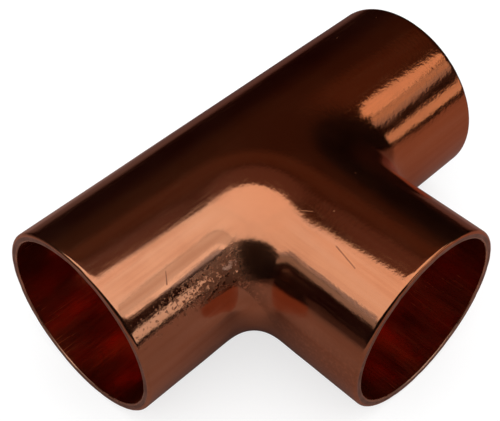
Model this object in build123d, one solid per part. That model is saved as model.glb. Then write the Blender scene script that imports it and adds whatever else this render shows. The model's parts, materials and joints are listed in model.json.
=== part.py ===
from build123d import *
import os
from math import sqrt

# Equal tee fitting for 22 mm copper tube, formed in one piece from seamless tube.
# Sizes are in millimetres. The run lies along X, the branch leaves towards -Y and +Z is up.
# The origin is the middle of the underside of the part's bounding box. The shapes are made
# about the crossing of the two axes, and the finished part is moved once, at the end.

# Driving dimensions
SOCKET_BORE = 22.12  # inside diameter of a socket: 22 mm tube plus the solder gap
SOCKET_WALL = 1.04  # wall at a mouth
SOCKET_DEPTH = 15.4  # how far the tube goes in before it meets the stop
RUN_REACH = 28.25  # crossing of the axes to either run mouth
BRANCH_REACH = 27.5  # crossing of the axes to the branch mouth
STOP_STEP = 0.55  # how far the stop stands in from the socket wall, all round
STOP_TAPER = 0.5  # length of the slope from the socket wall down to the stop
CORNER_RADIUS = 3.0  # outside radius of each inner corner, seen from above, at mid height
CORNER_GROWTH = 0.5  # how fast that radius grows as the tubes curve away above and below
INNER_ROUND = 0.15  # rounding of the inner edge of each mouth
OUTER_ROUND = 0.4  # rounding of the outer edge of each mouth

# Sizes that follow from them
SOCKET_RADIUS = SOCKET_BORE / 2
OUTER_RADIUS = SOCKET_RADIUS + SOCKET_WALL
BODY_RADIUS = SOCKET_RADIUS - STOP_STEP
BODY_WALL = OUTER_RADIUS - BODY_RADIUS
OVERRUN = 1.0  # a cutter runs this far past a mouth
TOUCH = 1e-3  # closer than this, two places are the same

# Quarter of a unit circle as a rational curve: its control points and their weights
ARC_POINTS = [(1, 0), (1, 1), (0, 1)]
ARC_WEIGHTS = [1, sqrt(0.5), 1]


def corner_skin(tube_radius, corner_radius, up):
    """Upper (up = 1) or lower (up = -1) half of the surface that rounds one inner corner.

    Cut level at any height it is a quarter circle that touches both tubes. The circle's
    radius and centre change in step with the tubes' own half width at that height, so a
    single patch made of circles and ellipses describes it exactly.
    """
    points = []
    weights = []
    for (across, rise), row_weight in zip(ARC_POINTS, ARC_WEIGHTS):
        half_width = tube_radius * across
        bend = corner_radius + CORNER_GROWTH * (tube_radius - half_width)
        centre = -(half_width + bend)
        height = up * tube_radius * rise
        points.append([Vector(centre + bend * x, centre + bend * y, height) for y, x in ARC_POINTS])
        weights.append([row_weight * weight for weight in ARC_WEIGHTS])
    return Face.make_bezier_surface(points, weights)


def corner_web(tube_radius, corner_radius):
    """Solid between the -X arm and the branch: the two skins, and walls hidden in the tubes."""
    upper = corner_skin(tube_radius, corner_radius, 1)
    lower = corner_skin(tube_radius, corner_radius, -1)
    flat = corner_radius + CORNER_GROWTH * tube_radius
    arm_top, middle_top, branch_top = [
        Vector(x, y, tube_radius) for x, y in ((-flat, 0), (0, 0), (0, -flat))
    ]
    arm_bottom, middle_bottom, branch_bottom = [
        Vector(point.X, point.Y, -tube_radius) for point in (arm_top, middle_top, branch_top)
    ]

    def by_side(skin):
        """Edges of a skin, from the one on the arm to the one on the branch."""
        return skin.edges().sort_by(lambda edge: (edge @ 0.5).X - (edge @ 0.5).Y)

    upper_arc = upper.edges().sort_by(Axis.Z)[-1]
    lower_arc = lower.edges().sort_by(Axis.Z)[0]
    arm_edges = [by_side(skin)[0] for skin in (upper, lower)]
    branch_edges = [by_side(skin)[-1] for skin in (upper, lower)]
    arm_post = Edge.make_line(arm_top, arm_bottom)
    branch_post = Edge.make_line(branch_top, branch_bottom)
    top_sides = Wire.make_polygon([arm_top, middle_top, branch_top], close=False).edges()
    bottom_sides = Wire.make_polygon([arm_bottom, middle_bottom, branch_bottom], close=False).edges()
    walls = [
        Wire(arm_edges + [arm_post]),
        Wire(branch_edges + [branch_post]),
        Wire([upper_arc] + top_sides),
        Wire([lower_arc] + bottom_sides),
        Wire.make_polygon([arm_top, middle_top, middle_bottom, arm_bottom]),
        Wire.make_polygon([branch_top, middle_top, middle_bottom, branch_bottom]),
    ]
    return Solid(Shell([upper, lower] + [Face(wall) for wall in walls]))


# Turns a shape made along +Z to lie along each arm. The run's turn puts the seam of a round
# bar at the back, clear of the flats above and below the crossing.
ALONG_RUN = Rot(0, 90, 0) * Rot(0, 0, 90)
ALONG_BRANCH = Rot(90, 0, 0)
ARMS = [
    (ALONG_RUN, RUN_REACH),
    (Rot(0, 0, 180) * ALONG_RUN, RUN_REACH),
    (ALONG_BRANCH, BRANCH_REACH),
]


def from_crossing(bar_radius, reach):
    """Round bar from the crossing of the axes, along +Z, before it is turned to its arm."""
    return Cylinder(bar_radius, reach, align=(Align.CENTER, Align.CENTER, Align.MIN))


def tee_shape(tube_radius, corner_radius, overrun):
    """Solid tee of one radius: the run, the branch and the two rounded inner corners."""
    run = ALONG_RUN * Cylinder(tube_radius, 2 * (RUN_REACH + overrun))
    branch = ALONG_BRANCH * from_crossing(tube_radius, BRANCH_REACH + overrun)
    web = corner_web(tube_radius, corner_radius)
    return run + branch + web + mirror(web, Plane.YZ)


def socket_cutter(reach):
    """What a socket takes out of a bar along +Z: the tube's room, then the taper to the stop."""
    floor = reach - SOCKET_DEPTH
    room = Pos(0, 0, floor) * from_crossing(SOCKET_RADIUS, SOCKET_DEPTH + OVERRUN)
    taper = Pos(0, 0, floor - STOP_TAPER / 2) * Cone(BODY_RADIUS, SOCKET_RADIUS, STOP_TAPER)
    return room + taper


def on_a_mouth(circle):
    """True for a circle that lies in the plane of one of the three mouths."""
    middle = circle.arc_center
    return abs(abs(middle.X) - RUN_REACH) < TOUCH or abs(middle.Y + BRANCH_REACH) < TOUCH


def mouth_edges(body, radius):
    """The circles of one radius round the three mouths."""
    circles = body.edges().filter_by(GeomType.CIRCLE)
    return [circle for circle in circles if on_a_mouth(circle) and abs(circle.radius - radius) < TOUCH]


def tee_body():
    """The whole fitting: outside, waterway, three sockets with their stops, rounded rims."""
    outside = tee_shape(OUTER_RADIUS, CORNER_RADIUS, 0)
    waterway = tee_shape(BODY_RADIUS, CORNER_RADIUS + BODY_WALL, OVERRUN)
    body = outside - waterway
    for along_arm, reach in ARMS:
        body -= along_arm * socket_cutter(reach)
    body = fillet(mouth_edges(body, SOCKET_RADIUS), INNER_ROUND)
    return fillet(mouth_edges(body, OUTER_RADIUS), OUTER_ROUND)


# The bounding box reaches OUTER_RADIUS behind the crossing and BRANCH_REACH in front of it.
to_origin = Pos(0, (BRANCH_REACH - OUTER_RADIUS) / 2, OUTER_RADIUS)
tee = to_origin * tee_body()

os.makedirs("parts", exist_ok=True)
export_step(tee, "parts/tee_body.step")
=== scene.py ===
import json
import math

import bmesh
import bpy
import numpy as np
from mathutils import Matrix, Vector, noise


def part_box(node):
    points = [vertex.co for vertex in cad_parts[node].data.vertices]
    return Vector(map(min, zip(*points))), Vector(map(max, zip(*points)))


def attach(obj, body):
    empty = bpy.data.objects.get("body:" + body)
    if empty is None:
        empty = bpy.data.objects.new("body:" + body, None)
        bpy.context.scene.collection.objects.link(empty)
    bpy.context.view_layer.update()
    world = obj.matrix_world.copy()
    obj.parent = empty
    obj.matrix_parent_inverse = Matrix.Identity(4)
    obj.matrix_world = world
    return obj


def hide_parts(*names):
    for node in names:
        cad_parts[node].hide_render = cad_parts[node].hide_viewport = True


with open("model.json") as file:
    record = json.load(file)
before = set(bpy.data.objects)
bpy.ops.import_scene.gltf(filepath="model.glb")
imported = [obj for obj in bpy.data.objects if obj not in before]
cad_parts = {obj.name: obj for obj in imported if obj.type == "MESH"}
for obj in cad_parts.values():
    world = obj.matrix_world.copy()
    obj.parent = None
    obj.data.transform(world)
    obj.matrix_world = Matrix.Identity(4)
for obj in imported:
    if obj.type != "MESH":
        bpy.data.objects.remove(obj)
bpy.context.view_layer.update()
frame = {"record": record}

MM = 0.001
TOUCH = 1e-6  # closer than this, two places are the same

# ---------------------------------------------------------------- sizes, from the frame
low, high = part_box("tee_body")
OUTER = (high.z - low.z) / 2  # outside radius of the three tubes
CROSSING = Vector(((low.x + high.x) / 2, high.y - OUTER, low.z + OUTER))  # of the two axes
RUN = (high.x - low.x) / 2  # crossing to either run mouth
BRANCH = CROSSING.y - low.y  # crossing to the branch mouth
socket = frame["record"]["mounts"][0]["dims"]
SOCKET = socket["r_mm"] * MM  # radius of a socket
WALL_LENGTH = socket["length_mm"] * MM  # of a socket, without its rounded edge

# ---------------------------------------------------------------- sizes that the frame doesn't give
STOP_STEP = 0.55 * MM  # how far the stop stands in from the socket wall
STOP_TAPER = 0.5 * MM  # length of the slope from the socket wall to the stop
INNER_ROUND = 0.15 * MM  # rounding of the inner edge of a mouth
OUTER_ROUND = 0.4 * MM  # rounding of the outer edge of a mouth
BODY = SOCKET - STOP_STEP  # inside radius behind the stops
DEPTH = WALL_LENGTH + INNER_ROUND  # mouth to the slope of the stop
CORNER = 3.0 * MM  # outside radius of an inner corner, seen from above, at mid height
CORNER_GROWTH = 0.5  # how fast that radius grows as the tubes curve away
ROUND_CORNER = 2.0  # power of a circular corner
EASED_CORNER = 2.7  # power of a corner that eases in and out of the tubes

# How far the metal strays from its ideal shape, and over what length
SWAY, SWAY_LENGTH = 0.025 * MM, 9 * MM
PINCH, PINCH_LENGTH = 0.07 * MM, 3.2 * MM
NICK, NICK_LENGTH = 0.06 * MM, 1.3 * MM
NICK_FROM = 0.1  # noise above this dents a mouth's edge

# ---------------------------------------------------------------- mesh resolution
LIFT_STEPS = 96  # from the bottom to the top of a tube
CORNER_STEPS = 28  # from the arm to the branch
NEAR_STEPS = 24  # along an arm, from its corner to NEAR_END
FAR_STEPS = 24  # along an arm, from NEAR_END to the mouth
MIDDLE_STEPS = 40  # across the back of the crossing
ROUND_STEPS = 6  # round each edge of a mouth
FACE_STEPS = 4  # across the cut face of a mouth
NEAR_END = 17.5 * MM
WELD = 2e-6  # points closer than this become one
SLIVER = 1e-7  # edges shorter than this are taken out

# The mesh's material slots
POLISHED, INSIDE, RIM = 0, 1, 2


# ---------------------------------------------------------------- the tee's mesh
class Sheets:
    """Grids of points that become one mesh."""

    def __init__(self):
        self.mesh = bmesh.new()

    def add(self, points, material):
        """Skins a grid of points, given as rows x columns x 3 numbers."""
        rows, columns, _ = points.shape
        verts = [[self.mesh.verts.new(p) for p in row] for row in points.tolist()]
        for i in range(rows - 1):
            for j in range(columns - 1):
                corners = [verts[i][j], verts[i][j + 1], verts[i + 1][j + 1], verts[i + 1][j]]
                face = self.mesh.faces.new(corners)
                face.material_index = material
                face.smooth = True

    def weld(self):
        """Joins the grids along their shared edges and turns all faces one way."""
        bmesh.ops.remove_doubles(self.mesh, verts=self.mesh.verts, dist=WELD)
        bmesh.ops.dissolve_degenerate(self.mesh, edges=self.mesh.edges, dist=SLIVER)
        bmesh.ops.recalc_face_normals(self.mesh, faces=self.mesh.faces)
        self.mesh.normal_update()


def stack(x, y, z):
    """Grid of points from three grids, rows, columns or single numbers."""
    return np.stack(np.broadcast_arrays(x, y, z), axis=-1)


# Angles above the level of the axes, from the bottom of a tube to its top
LIFT = np.linspace(-math.pi / 2, math.pi / 2, LIFT_STEPS + 1)


def corner_cut(radius, corner, power):
    """Half width, corner size and corner centre of the level cut at each lift, as columns.

    A power of 2 is a round corner. A higher one eases in and out of the straight tubes, and
    is made longer, so that it passes through the same middle.
    """
    width = radius * np.cos(LIFT)[:, None]
    longer = (1 - 2 ** (-1 / ROUND_CORNER)) / (1 - 2 ** (-1 / power))
    size = longer * (corner + CORNER_GROWTH * (radius - width))
    return width, size, width + size


def corner_curve(power):
    """Unit corner from the arm to the branch: its x and y shares, as rows."""
    turn = np.linspace(0, math.pi / 2, CORNER_STEPS + 1)[None, :]
    reach = (np.cos(turn) ** power + np.sin(turn) ** power) ** (1 / power)
    return np.sin(turn) / reach, np.cos(turn) / reach


def stations(start, reach):
    """Distances along an arm, from where its corner ends to the mouth."""
    near = start + (NEAR_END - start) * np.linspace(0, 1, NEAR_STEPS + 1)
    far = np.linspace(NEAR_END, reach, FAR_STEPS + 1)[1:]
    return np.concatenate([near, np.broadcast_to(far, (len(near), FAR_STEPS))], axis=1)


def add_skin(sheets, radius, corner, power, edge, material):
    """Tube skin of the tee about the crossing, open at the three mouths, an edge short of each."""
    width, size, centre = corner_cut(radius, corner, power)
    height = radius * np.sin(LIFT)[:, None]
    along_run = stations(centre, RUN - edge)
    along_branch = stations(centre, BRANCH - edge)
    share_x, share_y = corner_curve(power)
    corner_x = size * share_x - centre
    corner_y = size * share_y - centre
    top = along_run[0]
    middle = np.linspace(-top[0], top[0], MIDDLE_STEPS + 1)
    back = np.concatenate([-top[::-1], middle[1:-1], top])[None, :]
    sheets.add(stack(back, width, height), material)
    for side in (-1, 1):
        sheets.add(stack(side * along_run, -width, height), material)
        sheets.add(stack(side * width, -along_branch, height), material)
        sheets.add(stack(-side * corner_x, corner_y, height), material)
    across = np.linspace(-1, 1, MIDDLE_STEPS + 1)[None, :]
    for level in (radius, -radius):
        sheets.add(stack(-corner_x[0][:, None] * across, corner_y[0][:, None], level), material)


def rounding(skin, size, inward):
    """Quarter circle from a skin's radius to the cut face: (distance back, radius) pairs."""
    quarter = np.linspace(0, math.pi / 2, ROUND_STEPS + 1)
    return np.array([size * (1 - np.sin(quarter)), skin - inward * size * (1 - np.cos(quarter))])


def add_band(sheets, profile, material):
    """Sweeps a (distance back, radius) profile round each of the three mouths."""
    back, radius = profile
    rise = radius * np.sin(LIFT)[:, None]
    width = radius * np.cos(LIFT)[:, None]
    for side in (-1, 1):
        for front in (-1, 1):
            sheets.add(stack(side * (RUN - back), front * width, rise), material)
        sheets.add(stack(side * width, back - BRANCH, rise), material)


def add_rims(sheets):
    """Polished outer rounding, then the cut face and the inner rounding."""
    outer = rounding(OUTER, OUTER_ROUND, 1)
    inner = rounding(SOCKET, INNER_ROUND, -1)
    face = np.linspace(outer[:, -1], inner[:, -1], FACE_STEPS + 1).T
    add_band(sheets, outer, POLISHED)
    add_band(sheets, np.hstack([face, inner[:, -2::-1]]), RIM)


def away(point):
    """Direction from the nearer axis to a point."""
    if -point.y > abs(point.x):
        return Vector((point.x, 0, point.z))
    return Vector((0, point.y, point.z))


def sink_sockets(mesh):
    """Moves the bore's skin out to the socket's radius between each mouth and its stop."""
    moves = []
    for vert in mesh.verts:
        x, y = abs(vert.co.x), -vert.co.y
        past = max(x - (RUN - DEPTH - STOP_TAPER), y - (BRANCH - DEPTH - STOP_TAPER))
        share = min(max(past / STOP_TAPER, 0), 1)
        outward = vert.normal if vert.normal.dot(away(vert.co)) > 0 else -vert.normal
        moves.append(outward * STOP_STEP * share)
    for vert, move in zip(mesh.verts, moves):
        vert.co += move


def near_corner(point):
    """1 in an inner corner at mid height, falling to 0 one tube radius away."""
    corner = Vector((OUTER, -OUTER, 0))
    squashed = Vector((abs(point.x), point.y, point.z * 0.7))
    distance = (squashed - corner).length
    return max(0, 1 - distance / OUTER)


def unsteady(point):
    """How far a point of the skin stands out of the ideal shape, from forming the metal."""
    sway = SWAY * noise.noise(point / SWAY_LENGTH)
    pinch = PINCH * near_corner(point) * noise.noise(point / PINCH_LENGTH)
    return sway + pinch


def nick(point):
    """How a point of a mouth's cut face is pushed back along its arm by wear and dents."""
    if max(abs(point.x) - RUN, -point.y - BRANCH) < -INNER_ROUND - TOUCH:
        return Vector()
    depth = NICK * max(0, noise.noise(point / NICK_LENGTH) - NICK_FROM)
    if -point.y > abs(point.x):
        return Vector((0, depth, 0))
    return Vector((-math.copysign(depth, point.x), 0, 0))


def age(mesh):
    """Gives the ideal shape the small unevenness of pressed and sawn copper."""
    moves = [vert.normal * unsteady(vert.co) + nick(vert.co) for vert in mesh.verts]
    for vert, move in zip(mesh.verts, moves):
        vert.co += move


def build_tee():
    """The whole fitting: the inside, the outside and the rims, welded into one closed skin."""
    inner = Sheets()
    add_skin(inner, BODY, CORNER + OUTER - BODY, ROUND_CORNER, INNER_ROUND, INSIDE)
    inner.weld()
    sink_sockets(inner.mesh)
    inside = bpy.data.meshes.new("inside")
    inner.mesh.to_mesh(inside)
    whole = Sheets()
    add_skin(whole, OUTER, CORNER, EASED_CORNER, OUTER_ROUND, POLISHED)
    add_rims(whole)
    whole.mesh.from_mesh(inside)
    whole.weld()
    bpy.data.meshes.remove(inside)
    age(whole.mesh)
    bmesh.ops.translate(whole.mesh, verts=whole.mesh.verts, vec=CROSSING)
    data = bpy.data.meshes.new("copper_tee")
    whole.mesh.to_mesh(data)
    whole.mesh.free()
    inner.mesh.free()
    tee = bpy.data.objects.new("copper_tee", data)
    bpy.context.scene.collection.objects.link(tee)
    return tee


# ---------------------------------------------------------------- node recipes
class Recipe:
    """Short words for the nodes of one material or world."""

    def __init__(self, owner):
        owner.use_nodes = True
        self.nodes = owner.node_tree.nodes
        self.links = owner.node_tree.links

    def feed(self, socket, value):
        """Links a socket to another, or sets it to a value."""
        if isinstance(value, bpy.types.NodeSocket):
            self.links.new(value, socket)
        else:
            socket.default_value = value

    def add(self, kind, inputs, **settings):
        """New node of a kind, with its inputs fed."""
        node = self.nodes.new("ShaderNode" + kind)
        for name, value in settings.items():
            setattr(node, name, value)
        for name, value in inputs.items():
            self.feed(node.inputs[name], value)
        return node

    def math(self, operation, *values):
        inputs = dict(enumerate(values))
        return self.add("Math", inputs, operation=operation).outputs[0]

    def vector(self, operation, *values):
        node = self.add("VectorMath", dict(enumerate(values)), operation=operation)
        return node.outputs["Value" if operation in ("DOT_PRODUCT", "LENGTH") else "Vector"]

    def step(self, value, start, end, first=0.0, last=1.0):
        """Smooth change from first to last as value goes from start to end."""
        inputs = {"Value": value, "From Min": start, "From Max": end, "To Min": first, "To Max": last}
        return self.add("MapRange", inputs, interpolation_type="SMOOTHSTEP").outputs["Result"]

    def noise(self, place, length, detail=3.0, rough=0.5, stretch=(1, 1, 1)):
        """Noise whose grains are about length across, longer along an axis with a small stretch."""
        scaled = self.vector("MULTIPLY", place, [share / length for share in stretch])
        inputs = {"Vector": scaled, "Scale": 1.0, "Detail": detail, "Roughness": rough}
        return self.add("TexNoise", inputs).outputs["Fac"]

    def blend(self, factor, first, second):
        """Number that goes from first to second as factor goes from 0 to 1."""
        return self.add("Mix", {0: factor, 2: first, 3: second}, data_type="FLOAT").outputs[0]

    def mix(self, factor, first, second, how="MIX"):
        """Color that goes from first to second, or to their product, as factor goes from 0 to 1."""
        inputs = {"Factor": factor, "A": first, "B": second}
        return self.add("Mix", inputs, data_type="RGBA", blend_type=how).outputs["Result"]

    def bump(self, height, depth, below=None):
        """Relief of a depth in metres, laid over the relief below it."""
        inputs = {"Height": height, "Distance": depth, "Strength": 1.0}
        if below:
            inputs["Normal"] = below
        return self.add("Bump", inputs).outputs["Normal"]

    def metal(self, tone, shine, relief):
        """Bare metal of a tone, a roughness and a relief."""
        shader = self.nodes["Principled BSDF"]
        shader.inputs["Metallic"].default_value = 1.0
        self.feed(shader.inputs["Base Color"], tone)
        self.feed(shader.inputs["Roughness"], shine)
        self.feed(shader.inputs["Normal"], relief)


def new_material(name):
    """A new material and its recipe."""
    material = bpy.data.materials.new(name)
    return material, Recipe(material)


def color(red, green, blue):
    return (red, green, blue, 1)


# ---------------------------------------------------------------- places on the tee
def from_crossing(recipe):
    """Place on the tee, from where the axes cross."""
    place = recipe.add("TexCoord", {}).outputs["Object"]
    return recipe.vector("SUBTRACT", place, CROSSING)


def split(recipe, place):
    """The x, y and z of a place."""
    return recipe.add("SeparateXYZ", {"Vector": place}).outputs[:]


def off_corners(recipe, place):
    """0 between the two inner corners, where the metal was swelled, and 1 on the drawn tube."""
    x, y, _ = split(recipe, place)
    reach = recipe.math("MAXIMUM", recipe.math("ABSOLUTE", x), recipe.math("MULTIPLY", y, -1.0))
    return recipe.math("MAXIMUM", recipe.step(reach, 9 * MM, 15 * MM), recipe.step(y, -4 * MM, 3 * MM))


def on_branch(recipe, place):
    """0 on the run and 1 on the branch, with a short change between them."""
    x, y, _ = split(recipe, place)
    past = recipe.math("SUBTRACT", recipe.math("MULTIPLY", y, -1.0), recipe.math("ABSOLUTE", x))
    return recipe.step(past, -2 * MM, 2 * MM)


def lines(recipe, place, length, longer, detail=3.0):
    """Drawing lines: fine noise stretched along whichever arm it is on."""
    along_x = recipe.noise(place, length, detail, stretch=(1 / longer, 1, 1))
    along_y = recipe.noise(place, length, detail, stretch=(1, 1 / longer, 1))
    return recipe.blend(on_branch(recipe, place), along_x, along_y)


def highlight_spot(recipe, place):
    """1 on the small rough spot beside the left inner corner, where a highlight is painted in a lighter
    tone.
    """
    middle = Vector((-14.2, -10.2, 6.9)) * MM
    offset = recipe.vector("MULTIPLY", recipe.vector("SUBTRACT", place, middle), (0.55, 1.0, 1.7))
    ragged = recipe.math("MULTIPLY", recipe.noise(place, 0.5 * MM, 4.0, 0.75), 3.2 * MM)
    return recipe.step(recipe.math("ADD", recipe.vector("LENGTH", offset), ragged), 2.15 * MM, 1.9 * MM)


def hairline(recipe, place, start, end):
    """1 on a thin straight scratch between two places, in millimetres from the crossing."""
    start, end = Vector(start) * MM, Vector(end) * MM
    along = end - start
    offset = recipe.vector("SUBTRACT", place, start)
    share = recipe.vector("DOT_PRODUCT", offset, along / along.length_squared)
    share = recipe.math("MINIMUM", recipe.math("MAXIMUM", share, 0.0), 1.0)
    nearest = recipe.add("VectorMath", {0: along, "Scale": share}, operation="SCALE").outputs["Vector"]
    distance = recipe.vector("LENGTH", recipe.vector("SUBTRACT", offset, nearest))
    return recipe.step(distance, 0.10 * MM, 0.03 * MM)


# Handling scratches: both ends, in millimetres from the crossing
SCRATCHES = [
    ((-6.0, -18.4, 10.5), (-6.6, -21.6, 10.1)),
    ((-20.9, -7.4, 9.6), (-21.6, -8.3, 8.8)),
    ((-5.2, -12.5, 10.9), (-4.6, -13.6, 11.2)),
    ((17.0, 9.5, 7.5), (21.5, 8.7, 8.4)),
]


def scratches(recipe, place):
    """1 on any of the handling scratches."""
    worst = 0.0
    for start, end in SCRATCHES:
        worst = recipe.math("MAXIMUM", worst, hairline(recipe, place, start, end))
    return worst


def scuffed_strip(recipe, place):
    """1 along the front of the -X arm, a third of the way up, where the die rubbed it."""
    x, _, _ = split(recipe, place)
    tilt = math.radians(33)
    facing = recipe.vector("DOT_PRODUCT", place, (0, -math.cos(tilt) / OUTER, math.sin(tilt) / OUTER))
    strip = recipe.math("MULTIPLY", recipe.step(facing, 0.984, 0.995), recipe.step(x, -11 * MM, -14 * MM))
    return recipe.math("MULTIPLY", strip, recipe.step(x, -27 * MM, -20 * MM, 0.35, 1.0))


# ---------------------------------------------------------------- materials
class Skin:
    """The patterns of the polished outside, each a number over the surface."""

    def __init__(self, recipe):
        place = from_crossing(recipe)
        x, _, _ = split(recipe, place)
        off_corner = off_corners(recipe, place)
        worse = recipe.step(x, -25 * MM, -14 * MM, 0.0, 0.17)
        pits = recipe.math("ADD", recipe.noise(place, 0.5 * MM, 3.0, 0.7), worse)
        specks = recipe.step(recipe.noise(place, 0.8 * MM, 1.0), 0.80, 0.84)
        self.patches = recipe.noise(place, 11 * MM, 4.0, 0.6)
        self.drawn = recipe.blend(off_corner, 0.5, lines(recipe, place, 1.0 * MM, 25, 4.0))
        self.fine = lines(recipe, place, 0.22 * MM, 14)
        self.peel = recipe.noise(place, 0.42 * MM, 2.0)
        self.towards_right = recipe.step(x, -16 * MM, 8 * MM)
        self.scuffed = scuffed_strip(recipe, place)
        pitted = recipe.math("MULTIPLY", recipe.step(pits, 0.59, 0.66), self.scuffed)
        self.marks = recipe.math("MAXIMUM", pitted, specks)
        # rough spot whose lighter tone is a painted highlight
        self.painted_highlight = highlight_spot(recipe, place)
        self.hairlines = scratches(recipe, place)


def outside_tone(recipe, skin):
    """Salmon copper, redder to the right and in patches, dark in its pits and scratches, with a painted
    highlight on a spot beside the left inner corner.
    """
    tone = recipe.mix(skin.towards_right, color(0.91, 0.405, 0.22), color(0.89, 0.34, 0.155))
    tone = recipe.mix(recipe.step(skin.patches, 0.4, 0.7, 0.0, 0.6), tone, color(0.78, 0.30, 0.15))
    tone = recipe.mix(recipe.step(skin.drawn, 0.4, 0.75, 0.0, 0.45), tone, color(0.95, 0.47, 0.29))
    tone = recipe.mix(recipe.step(skin.drawn, 0.3, 0.5, 0.4, 0.0), tone, color(0.76, 0.29, 0.15))
    tone = recipe.mix(skin.towards_right, tone, color(0.94, 0.75, 0.62), "MULTIPLY")
    tone = recipe.mix(recipe.math("MULTIPLY", skin.marks, 0.7), tone, color(0.16, 0.055, 0.03))
    tone = recipe.mix(recipe.math("MULTIPLY", skin.hairlines, 0.75), tone, color(0.30, 0.11, 0.06))
    # lighter copper on the spot beside the left inner corner: a painted highlight
    return recipe.mix(skin.painted_highlight, tone, color(1.0, 0.62, 0.44))


def outside_shine(recipe, skin):
    """Roughness: polished, duller in patches, along fine lines and in every mark."""
    shine = recipe.step(skin.patches, 0.3, 0.75, 0.07, 0.13)
    shine = recipe.math("ADD", shine, recipe.step(skin.fine, 0.45, 0.8, 0.0, 0.08))
    for pattern, rougher in ((skin.marks, 0.25), (skin.hairlines, 0.12), (skin.painted_highlight, 0.22)):
        shine = recipe.math("ADD", shine, recipe.math("MULTIPLY", pattern, rougher))
    return shine


def outside_relief(recipe, skin):
    """Drawing lines, peel that is stronger where the die rubbed the metal and on the rough spot of the
    painted highlight, pits and scratches.
    """
    peel = recipe.math("MULTIPLY_ADD", skin.towards_right, 3.5, 0.8)
    for pattern, stronger in ((skin.scuffed, 4.0), (skin.painted_highlight, 30.0)):
        peel = recipe.math("MULTIPLY_ADD", pattern, stronger, peel)
    relief = recipe.bump(skin.drawn, 6e-6)
    relief = recipe.bump(skin.fine, 2.0e-6, relief)
    relief = recipe.bump(recipe.math("MULTIPLY", skin.peel, peel), 3.0e-6, relief)
    relief = recipe.bump(recipe.math("MULTIPLY", skin.marks, -1.0), 15e-6, relief)
    return recipe.bump(recipe.math("MULTIPLY", skin.hairlines, -1.0), 5e-6, relief)


def copper_outside():
    """Polished copper with the traces of drawing, pressing and handling."""
    material, recipe = new_material("polished_copper")
    skin = Skin(recipe)
    recipe.metal(outside_tone(recipe, skin), outside_shine(recipe, skin), outside_relief(recipe, skin))
    return material


def copper_inside():
    """Copper of the bore in a deep red, darker than the outside, which paints the shade inside the tube,
    with cloudy, streaked reflections.
    """
    material, recipe = new_material("copper_bore")
    place = from_crossing(recipe)
    clouds = recipe.noise(place, 6 * MM, 4.0, 0.6)
    drawn = lines(recipe, place, 1.1 * MM, 8)
    fine = lines(recipe, place, 0.25 * MM, 20)
    # deep red, darker than the outside copper: painted shade inside the tube
    tone = recipe.mix(recipe.step(clouds, 0.35, 0.7), color(0.84, 0.22, 0.08), color(0.56, 0.11, 0.04))
    tone = recipe.mix(recipe.step(drawn, 0.45, 0.8, 0.0, 0.5), tone, color(0.92, 0.30, 0.12))
    shine = recipe.step(clouds, 0.3, 0.7, 0.12, 0.22)
    shine = recipe.math("ADD", shine, recipe.step(fine, 0.4, 0.8, 0.0, 0.1))
    relief = recipe.bump(clouds, 90e-6)
    relief = recipe.bump(drawn, 10e-6, relief)
    relief = recipe.bump(fine, 0.7e-6, relief)
    recipe.metal(tone, shine, relief)
    return material


def inner_edge(recipe, place):
    """1 on the inner edge of a mouth and 0 on its cut face."""
    x, y, z = split(recipe, place)
    sideways = recipe.blend(on_branch(recipe, place), y, x)
    radius = recipe.vector("LENGTH", recipe.add("CombineXYZ", {"X": sideways, "Y": z}).outputs[0])
    return recipe.step(radius, SOCKET + 0.5 * INNER_ROUND, SOCKET + 1.6 * INNER_ROUND, 1.0, 0.0)


def copper_rim():
    """Sawn copper: dull and blotchy, with a bright inner edge that is partly wear and partly a painted
    highlight.
    """
    material, recipe = new_material("cut_copper")
    place = from_crossing(recipe)
    wear = recipe.step(recipe.noise(place, 2.5 * MM), 0.35, 0.65, 0.3, 1.0)
    # bright inner edge, patchy: partly wear, partly a painted highlight
    edge_wear_and_highlight = recipe.math("MULTIPLY", inner_edge(recipe, place), wear)
    saw = recipe.noise(place, 0.18 * MM, 3.0, 0.6, stretch=(1, 1, 0.2))
    blotch = recipe.noise(place, 1.6 * MM, 4.0, 0.6)
    tone = recipe.mix(recipe.step(blotch, 0.3, 0.7), color(0.50, 0.28, 0.215), color(0.33, 0.17, 0.125))
    tone = recipe.mix(recipe.step(saw, 0.5, 0.8, 0.0, 0.5), tone, color(0.66, 0.41, 0.31))
    # lighter tone on the inner edge: painted highlight over the wear
    tone = recipe.mix(edge_wear_and_highlight, tone, color(0.92, 0.50, 0.32))
    shine = recipe.step(edge_wear_and_highlight, 0.0, 1.0, 0.45, 0.25)
    recipe.metal(tone, shine, recipe.bump(blotch, 20e-6, recipe.bump(saw, 6e-6)))
    return material


# ---------------------------------------------------------------- camera
def direction(azimuth, elevation):
    """Unit vector towards an azimuth, 0 at -Y and 90 at +X, and an elevation, in degrees."""
    a, e = math.radians(azimuth), math.radians(elevation)
    return Vector((math.sin(a) * math.cos(e), -math.cos(a) * math.cos(e), math.sin(e)))


VIEW_AZIMUTH = -45.68
VIEW_ELEVATION = 47.19
VIEW_DISTANCE = 11.63 * OUTER
VIEW_ROLL = 0.57
TO_CAMERA = direction(VIEW_AZIMUTH, VIEW_ELEVATION)
SIDEWAYS = direction(VIEW_AZIMUTH + 90, 0)
AHEAD = direction(VIEW_AZIMUTH + 180, 0)
SENSOR_WIDTH = 36
FOCAL_LENGTH = 80.98
SHIFT_X, SHIFT_Y = -0.0076, -0.0308


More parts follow.
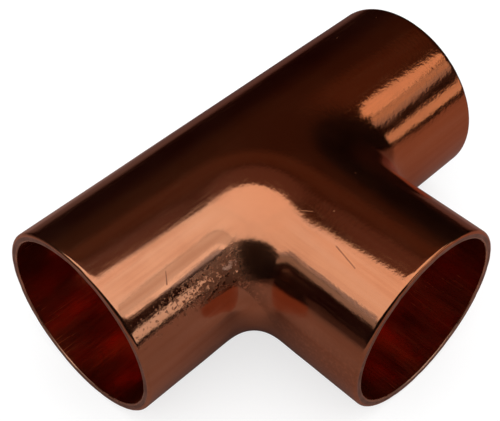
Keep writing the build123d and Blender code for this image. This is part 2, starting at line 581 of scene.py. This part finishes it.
def make_camera():
    data = bpy.data.cameras.new("camera")
    data.sensor_width = SENSOR_WIDTH
    data.lens = FOCAL_LENGTH
    data.shift_x = SHIFT_X
    data.shift_y = SHIFT_Y
    data.clip_start = 0.01
    camera = bpy.data.objects.new("camera", data)
    bpy.context.scene.collection.objects.link(camera)
    facing = TO_CAMERA.to_track_quat("Z", "Y").to_matrix()
    roll = Matrix.Rotation(math.radians(VIEW_ROLL), 3, "Z")
    place = Matrix.Translation(CROSSING + TO_CAMERA * VIEW_DISTANCE)
    camera.matrix_world = place @ (facing @ roll).to_4x4()
    bpy.context.scene.camera = camera


# ---------------------------------------------------------------- lights
WHITE = (1, 1, 1)
COOL = (0.72, 0.82, 1.0)
CEILING = 0.5  # height of the soft boxes overhead, above the crossing
WALL = 0.9  # distance of the others from the crossing


def area_light(name, centre, right, up, width, depth, radiance, tint=WHITE):
    """Rectangular soft box that shines away from right x up."""
    data = bpy.data.lights.new(name, "AREA")
    data.shape = "RECTANGLE"
    data.size = width
    data.size_y = depth
    data.energy = radiance * math.pi * width * depth
    data.color = tint
    light = bpy.data.objects.new(name, data)
    axes = Matrix((right, up, right.cross(up))).transposed()
    light.matrix_world = Matrix.Translation(centre) @ axes.to_4x4()
    bpy.context.scene.collection.objects.link(light)


def ceiling_light(name, side, ahead, width, depth, turn, radiance, tint=WHITE):
    """Soft box overhead, placed and sized in ceiling heights and turned in degrees."""
    centre = CROSSING + CEILING * (Vector((0, 0, 1)) + SIDEWAYS * side + AHEAD * ahead)
    spin = Matrix.Rotation(math.radians(turn), 3, "Z")
    right, up = spin @ SIDEWAYS, spin @ AHEAD
    area_light(name, centre, right, up, width * CEILING, depth * CEILING, radiance, tint)


def wall_light(name, azimuth, elevation, width, height, radiance):
    """Soft box at arm's length that faces the fitting, sized in degrees."""
    towards = direction(azimuth, elevation)
    right = Vector((0, 0, 1)).cross(towards).normalized()
    size = [2 * WALL * math.tan(math.radians(angle) / 2) for angle in (width, height)]
    area_light(name, CROSSING + towards * WALL, right, towards.cross(right), *size, radiance)


def make_lights():
    ceiling_light("overhead", -0.43, -0.43, 2.76, 1.0, 7, 0.74)
    ceiling_light("overhead_far", 1.02, 0.19, 0.60, 0.32, 16, 0.72)
    ceiling_light("overhead_shade", 1.17, -0.24, 0.44, 1.0, 7, 0.57)
    ceiling_light("overhead_far_shade", 1.54, 0.10, 0.30, 0.40, 7, 0.45)
    ceiling_light("overhead_streak", 1.54, -0.40, 0.30, 0.60, 7, 0.86)
    ceiling_light("overhead_right_edge", 1.87, -0.15, 0.34, 1.0, 7, 0.42, COOL)
    ceiling_light("overhead_left_edge", -1.97, -0.6, 0.3, 1.0, 7, 0.38, COOL)
    wall_light("low_strip", VIEW_AZIMUTH + 74, 10, 44, 10.5, 0.60)
    wall_light("left_fill", VIEW_AZIMUTH - 70, 20.5, 30, 6, 0.22)


# ---------------------------------------------------------------- surroundings
FLOOR_RADIUS = 1.2
FLOOR_GAP = 0.05 * MM  # below the fitting, so that the two don't touch
FLOOR_SEGMENTS = 96
FLOOR_WHITE = 0.34  # share of the studio's light that the floor throws back
FLOOR_GLOW = 0.69  # its own light, which keeps it pale


def floor_in_copper(recipe):
    """Tone of the floor as the copper mirrors it: dark rose nearby, and darker all round."""
    place = recipe.add("NewGeometry", {}).outputs["Position"]
    place = recipe.vector("SUBTRACT", place, CROSSING)
    ahead = recipe.vector("DOT_PRODUCT", place, AHEAD)
    beside = recipe.vector("DOT_PRODUCT", place, SIDEWAYS)
    near, middle = color(0.18, 0.125, 0.115), color(0.085, 0.055, 0.05)
    dark = color(0.009, 0.0025, 0.0015)
    tone = recipe.mix(recipe.step(ahead, 20 * MM, 45 * MM), near, middle)
    tone = recipe.mix(recipe.step(ahead, 70 * MM, 180 * MM), tone, dark)
    tone = recipe.mix(recipe.step(ahead, -18 * MM, -45 * MM, 0.0, 0.3), tone, dark)
    return recipe.mix(recipe.step(beside, -30 * MM, -120 * MM, 0.0, 0.85), tone, dark)


def pale_floor():
    """Pale floor that glows a little, except in the copper, which mirrors a tone of its own."""
    material, recipe = new_material("pale_floor")
    shader = recipe.nodes["Principled BSDF"]
    mirrored = recipe.add("LightPath", {}).outputs["Is Glossy Ray"]
    seen = color(FLOOR_WHITE, FLOOR_WHITE, FLOOR_WHITE)
    recipe.feed(shader.inputs["Base Color"], recipe.mix(mirrored, seen, floor_in_copper(recipe)))
    recipe.feed(shader.inputs["Emission Strength"], recipe.step(mirrored, 0.0, 1.0, FLOOR_GLOW, 0.0))
    shader.inputs["Emission Color"].default_value = color(1, 1, 1)
    shader.inputs["Roughness"].default_value = 0.9
    shader.inputs["Specular IOR Level"].default_value = 0.0
    return material


def make_floor():
    mesh = bmesh.new()
    bmesh.ops.create_circle(mesh, cap_ends=True, radius=FLOOR_RADIUS, segments=FLOOR_SEGMENTS)
    data = bpy.data.meshes.new("floor")
    mesh.to_mesh(data)
    mesh.free()
    floor = bpy.data.objects.new("floor", data)
    floor.location = (0, 0, low.z - FLOOR_GAP)
    bpy.context.scene.collection.objects.link(floor)
    data.materials.append(pale_floor())


# The room as the copper mirrors it: the sine of the elevation and the tone there
ROOM_TONES = [
    (0.00, (0.0060, 0.0005, 0.0002)),
    (0.25, (0.0072, 0.0008, 0.0004)),
    (0.42, (0.0135, 0.0040, 0.0020)),
    (0.57, (0.0245, 0.0105, 0.0050)),
    (0.71, (0.0280, 0.0115, 0.0060)),
    (0.79, (0.0610, 0.0275, 0.0165)),
    (0.865, (0.0540, 0.0225, 0.0125)),
    (0.890, (0.0370, 0.0150, 0.0090)),
    (0.912, (0.0850, 0.0450, 0.0390)),
    (1.00, (0.0950, 0.0500, 0.0420)),
]


def room_tones(recipe, height):
    """Tone of the mirrored room at the sine of an elevation."""
    room = recipe.add("ValToRGB", {"Fac": height})
    ramp = room.color_ramp
    while len(ramp.elements) < len(ROOM_TONES):
        ramp.elements.new(0.5)
    for element, (place, tone) in zip(ramp.elements, ROOM_TONES):
        element.position = place
        element.color = color(*tone)
    return room.outputs["Color"]


def room_shade(recipe, towards):
    """How far the mirrored room is darkened: towards +X and behind the camera."""
    to_x = recipe.vector("DOT_PRODUCT", towards, direction(90, 0))
    behind = recipe.vector("DOT_PRODUCT", towards, -AHEAD)
    return recipe.math(
        "MAXIMUM",
        recipe.step(to_x, 0.66, 0.8, 0.0, 0.8),
        recipe.step(behind, 0.4, 0.65, 0.0, 0.8))


def make_world():
    """White all round, except in the copper, which mirrors the room."""
    world = bpy.data.worlds.new("studio")
    bpy.context.scene.world = world
    recipe = Recipe(world)
    mirrored = recipe.add("LightPath", {}).outputs["Is Glossy Ray"]
    towards = recipe.add("TexCoord", {}).outputs["Generated"]
    height = split(recipe, towards)[2]
    shaded = color(0.001, 0.0, 0.0)
    room = recipe.mix(room_shade(recipe, towards), room_tones(recipe, height), shaded)
    recipe.feed(recipe.nodes["Background"].inputs["Color"], recipe.mix(mirrored, color(1, 1, 1), room))


# ---------------------------------------------------------------- the scene
tee = build_tee()
for material in (copper_outside(), copper_inside(), copper_rim()):
    tee.data.materials.append(material)
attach(tee, "root")
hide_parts("tee_body")

make_camera()
make_lights()
make_floor()
make_world()
bpy.context.scene.view_settings.view_transform = "Standard"
